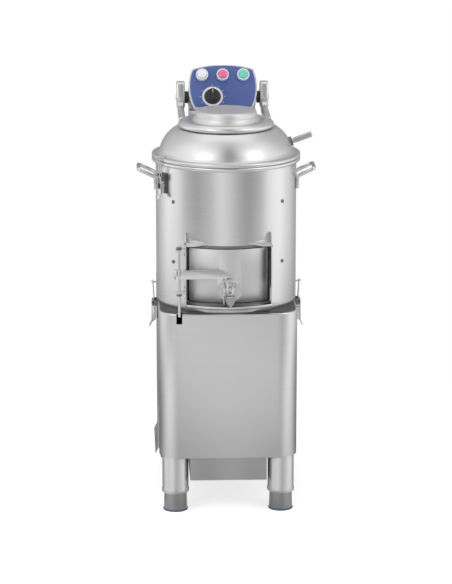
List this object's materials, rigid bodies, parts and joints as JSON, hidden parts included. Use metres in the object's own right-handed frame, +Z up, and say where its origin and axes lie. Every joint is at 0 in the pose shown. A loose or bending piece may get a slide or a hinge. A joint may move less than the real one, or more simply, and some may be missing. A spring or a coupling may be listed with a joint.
{
  "type": "electric potato peeler",
  "caption": "Floor-standing electric potato peeler: steel drum with hinged domed lid, discharge door, rear control box and filter stand on adjustable feet.",
  "frame": {"origin": "centre of the overall box at the floor", "axes": "+Z up, +Y towards the rear column, so the discharge door faces -Y and +X is the object's left-hand side as seen from behind"},
  "size_m": [0.433, 0.5995, 1.0389],
  "materials": {
    "brushed_steel": "horizontal brushed grain",
    "drum_steel": "fine rolled sheet",
    "polished_steel": "satin polish",
    "steel_parts": "bright drawn and pressed steel",
    "dark_steel": "dark satin",
    "cast_alloy": "cast and machined",
    "abrasive": "coarse silicon carbide grit in resin",
    "panel_blue": "printed blue face",
    "black_plastic": "moulded",
    "pale_plastic": "moulded, glossy",
    "red_plastic": "moulded, glossy",
    "green_plastic": "moulded, glossy",
    "foot_plastic": "moulded, grey over a blue-grey pad",
    "black_rubber": "moulded",
    "motor_paint": "enamel"
  },
  "bodies": {
    "root": {"stand_shell": "brushed_steel", "stand_top_plate": "dark_steel", "legs": "brushed_steel", "filter_tank": "dark_steel", "clamp_bases": "dark_steel", "base_plate": "cast_alloy", "drum_casing": "drum_steel", "drum_pan": "drum_steel", "rim_ring": "drum_steel", "abrasive_liner": "abrasive", "liner_screws": "dark_steel", "bearing_housing": "cast_alloy", "shaft_bearings": "steel_parts", "motor": "motor_paint", "drive_belt": "black_rubber", "rear_column": "brushed_steel", "rear_cover": "brushed_steel", "cable_gland": "black_plastic", "control_housing": "brushed_steel", "control_plate": "panel_blue", "button_bezels": "pale_plastic", "timer_body": "black_plastic", "hinge_axle": "steel_parts", "hinge_bushes": "black_plastic", "latch_base": "dark_steel", "side_handles": "steel_parts", "discharge_chute": "brushed_steel", "hinge_rod": "steel_parts"},
    "foot_front_left": {"foot_front_left": "foot_plastic"},
    "foot_front_right": {"foot_front_right": "foot_plastic"},
    "foot_rear_left": {"foot_rear_left": "foot_plastic"},
    "foot_rear_right": {"foot_rear_right": "foot_plastic"},
    "filter_drawer": {"filter_basket": "steel_parts", "drawer_front": "brushed_steel"},
    "clamp_lever_left": {"clamp_lever_left": "steel_parts"},
    "clamp_lever_right": {"clamp_lever_right": "steel_parts"},
    "clamp_loop_left": {"clamp_loop_left": "steel_parts"},
    "clamp_loop_right": {"clamp_loop_right": "steel_parts"},
    "drive": {"drive_shaft": "steel_parts", "peeling_plate": "abrasive", "driven_pulley": "cast_alloy"},
    "motor_drive": {"motor_shaft": "steel_parts", "motor_pulley": "cast_alloy"},
    "button_white": {"button_white": "pale_plastic"},
    "button_red": {"button_red": "red_plastic"},
    "button_green": {"button_green": "green_plastic"},
    "timer_knob": {"timer_knob": "black_plastic"},
    "lid": {"lid_dome": "polished_steel", "lid_collar": "polished_steel", "lid_crown": "polished_steel", "lid_arms": "polished_steel", "water_inlet": "dark_steel"},
    "latch_lever": {"latch_lever": "steel_parts"},
    "latch_loop": {"latch_loop": "steel_parts"},
    "door": {"door_panel": "drum_steel", "door_strap": "steel_parts", "lever_spring": "steel_parts"},
    "door_latch": {"door_lever": "steel_parts", "lever_knob": "black_plastic", "drop_bolt": "steel_parts"}
  },
  "joints": [
    {"name": "foot_front_left_level", "type": "slide", "parent": "root", "child": "foot_front_left", "axis": [0, 0, -1], "range_m": [0, 0.02]},
    {"name": "foot_front_right_level", "type": "slide", "parent": "root", "child": "foot_front_right", "axis": [0, 0, -1], "range_m": [0, 0.02]},
    {"name": "foot_rear_left_level", "type": "slide", "parent": "root", "child": "foot_rear_left", "axis": [0, 0, -1], "range_m": [0, 0.02]},
    {"name": "foot_rear_right_level", "type": "slide", "parent": "root", "child": "foot_rear_right", "axis": [0, 0, -1], "range_m": [0, 0.02]},
    {"name": "filter_drawer_pull", "type": "slide", "parent": "root", "child": "filter_drawer", "axis": [-1, 0, 0], "range_m": [0, 0.185]},
    {"name": "clamp_left_open", "type": "hinge", "parent": "root", "child": "clamp_lever_left", "pos_m": [-0.178, -0.09525, 0.49], "axis": [0, 1, 0], "range_deg": [0, 90]},
    {"name": "clamp_left_loop_swing", "type": "hinge", "parent": "clamp_lever_left", "child": "clamp_loop_left", "pos_m": [-0.1755, -0.09525, 0.476], "axis": [0, 1, 0], "range_deg": [-71.1, 0]},
    {"name": "clamp_right_open", "type": "hinge", "parent": "root", "child": "clamp_lever_right", "pos_m": [0.178, -0.09525, 0.49], "axis": [0, -1, 0], "range_deg": [0, 90]},
    {"name": "clamp_right_loop_swing", "type": "hinge", "parent": "clamp_lever_right", "child": "clamp_loop_right", "pos_m": [0.1755, -0.09525, 0.476], "axis": [0, -1, 0], "range_deg": [-71.1, 0]},
    {"name": "latch_open", "type": "hinge", "parent": "root", "child": "latch_lever", "pos_m": [-0.15981, -0.18022, 0.815], "axis": [-0.4695, 0.8829, 0], "range_deg": [0, 90]},
    {"name": "latch_loop_swing", "type": "hinge", "parent": "latch_lever", "child": "latch_loop", "pos_m": [-0.15761, -0.17905, 0.801], "axis": [-0.4695, 0.8829, 0], "range_deg": [-71.1, 0]},
    {"name": "lid_open", "type": "hinge", "parent": "root", "child": "lid", "pos_m": [0, 0.13975, 0.957], "axis": [-1, 0, 0], "range_deg": [0, 65]},
    {"name": "disc_spin", "type": "hinge", "parent": "root", "child": "drive", "pos_m": [0, -0.09525, 0.545], "axis": [0, 0, 1], "continuous": true},
    {"name": "motor_spin", "type": "hinge", "parent": "root", "child": "motor_drive", "pos_m": [0, 0.17275, 0.44], "axis": [0, 0, 1], "continuous": true},
    {"name": "button_white_press", "type": "slide", "parent": "root", "child": "button_white", "axis": [0, 0.866, -0.5], "range_m": [0, 0.003], "stiffness_N_per_m": 400, "springref_m": -0.002},
    {"name": "button_red_press", "type": "slide", "parent": "root", "child": "button_red", "axis": [0, 0.866, -0.5], "range_m": [0, 0.003], "stiffness_N_per_m": 400, "springref_m": -0.002},
    {"name": "button_green_press", "type": "slide", "parent": "root", "child": "button_green", "axis": [0, 0.866, -0.5], "range_m": [0, 0.003], "stiffness_N_per_m": 400, "springref_m": -0.002},
    {"name": "timer_turn", "type": "hinge", "parent": "root", "child": "timer_knob", "pos_m": [-0.026, 0.08645, 0.96581], "axis": [0, 0.866, -0.5], "range_deg": [0, 300]},
    {"name": "door_swing", "type": "hinge", "parent": "root", "child": "door", "pos_m": [-0.118, -0.26225, 0.595], "axis": [0, 0, -1], "range_deg": [0, 110]},
    {"name": "door_latch_lift", "type": "slide", "parent": "door", "child": "door_latch", "axis": [0, 0, 1], "range_m": [0, 0.009], "stiffness_N_per_m": 200, "springref_m": -0.01, "deforming": ["lever_spring"]}
  ],
  "couplings": [
    {"joint": "clamp_left_loop_swing", "follows": "clamp_left_open", "ratio": -0.79},
    {"joint": "clamp_right_loop_swing", "follows": "clamp_right_open", "ratio": -0.79},
    {"joint": "latch_loop_swing", "follows": "latch_open", "ratio": -0.79},
    {"joint": "motor_spin", "follows": "disc_spin", "ratio": 3}
  ]
}
